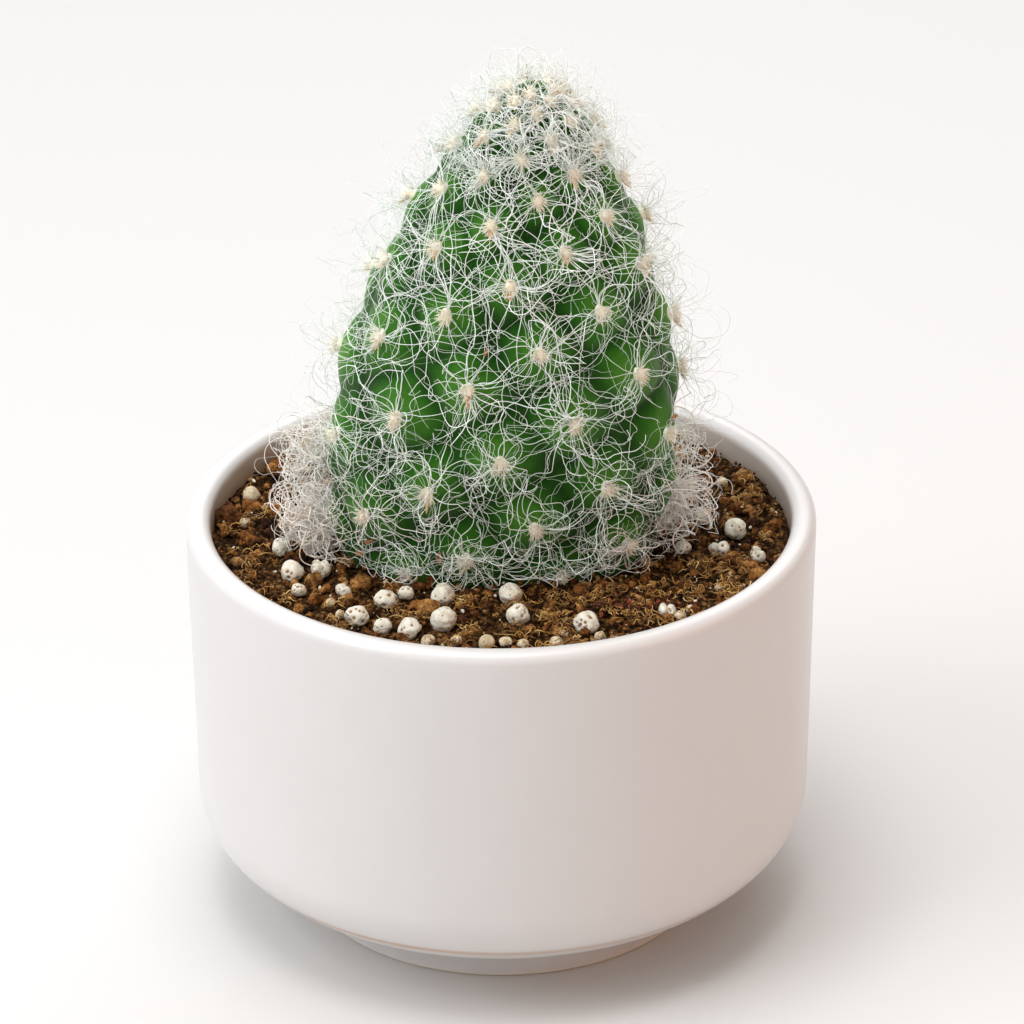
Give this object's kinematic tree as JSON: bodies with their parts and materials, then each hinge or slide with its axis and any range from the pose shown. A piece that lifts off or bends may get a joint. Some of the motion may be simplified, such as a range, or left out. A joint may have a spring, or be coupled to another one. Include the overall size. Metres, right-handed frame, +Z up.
{
  "type": "potted prickly pear",
  "caption": "Thick upright white-haired prickly pear pad in gritty soil with white stones, in a round glazed pot with a foot ring.",
  "frame": {"origin": "middle of the pot's foot ring, on the surface that the pot stands on", "axes": "+Z up along the pot's axis; the pad's broad face looks towards -Y, and its width lies along X"},
  "size_m": [0.0978, 0.0978, 0.1471],
  "materials": {
    "white_glaze": "satin white glaze",
    "soil": "gritty brown potting mix",
    "pad_skin": "living green skin with cream felt tufts and white hair-like spines",
    "white_stone": "rough pitted off-white grit"
  },
  "bodies": {
    "root": {"pot": "white_glaze", "soil": "soil", "prickly_pear": "pad_skin", "stone_01": "white_stone", "stone_02": "white_stone", "stone_03": "white_stone", "stone_04": "white_stone", "stone_05": "white_stone", "stone_06": "white_stone", "stone_07": "white_stone", "stone_08": "white_stone", "stone_09": "white_stone", "stone_10": "white_stone", "stone_11": "white_stone", "stone_12": "white_stone", "stone_13": "white_stone", "stone_14": "white_stone", "stone_15": "white_stone", "stone_16": "white_stone", "stone_17": "white_stone", "stone_18": "white_stone", "stone_19": "white_stone", "stone_20": "white_stone", "stone_21": "white_stone", "stone_22": "white_stone", "stone_23": "white_stone", "stone_24": "white_stone", "stone_25": "white_stone", "stone_26": "white_stone", "stone_27": "white_stone"}
  },
  "joints": []
}
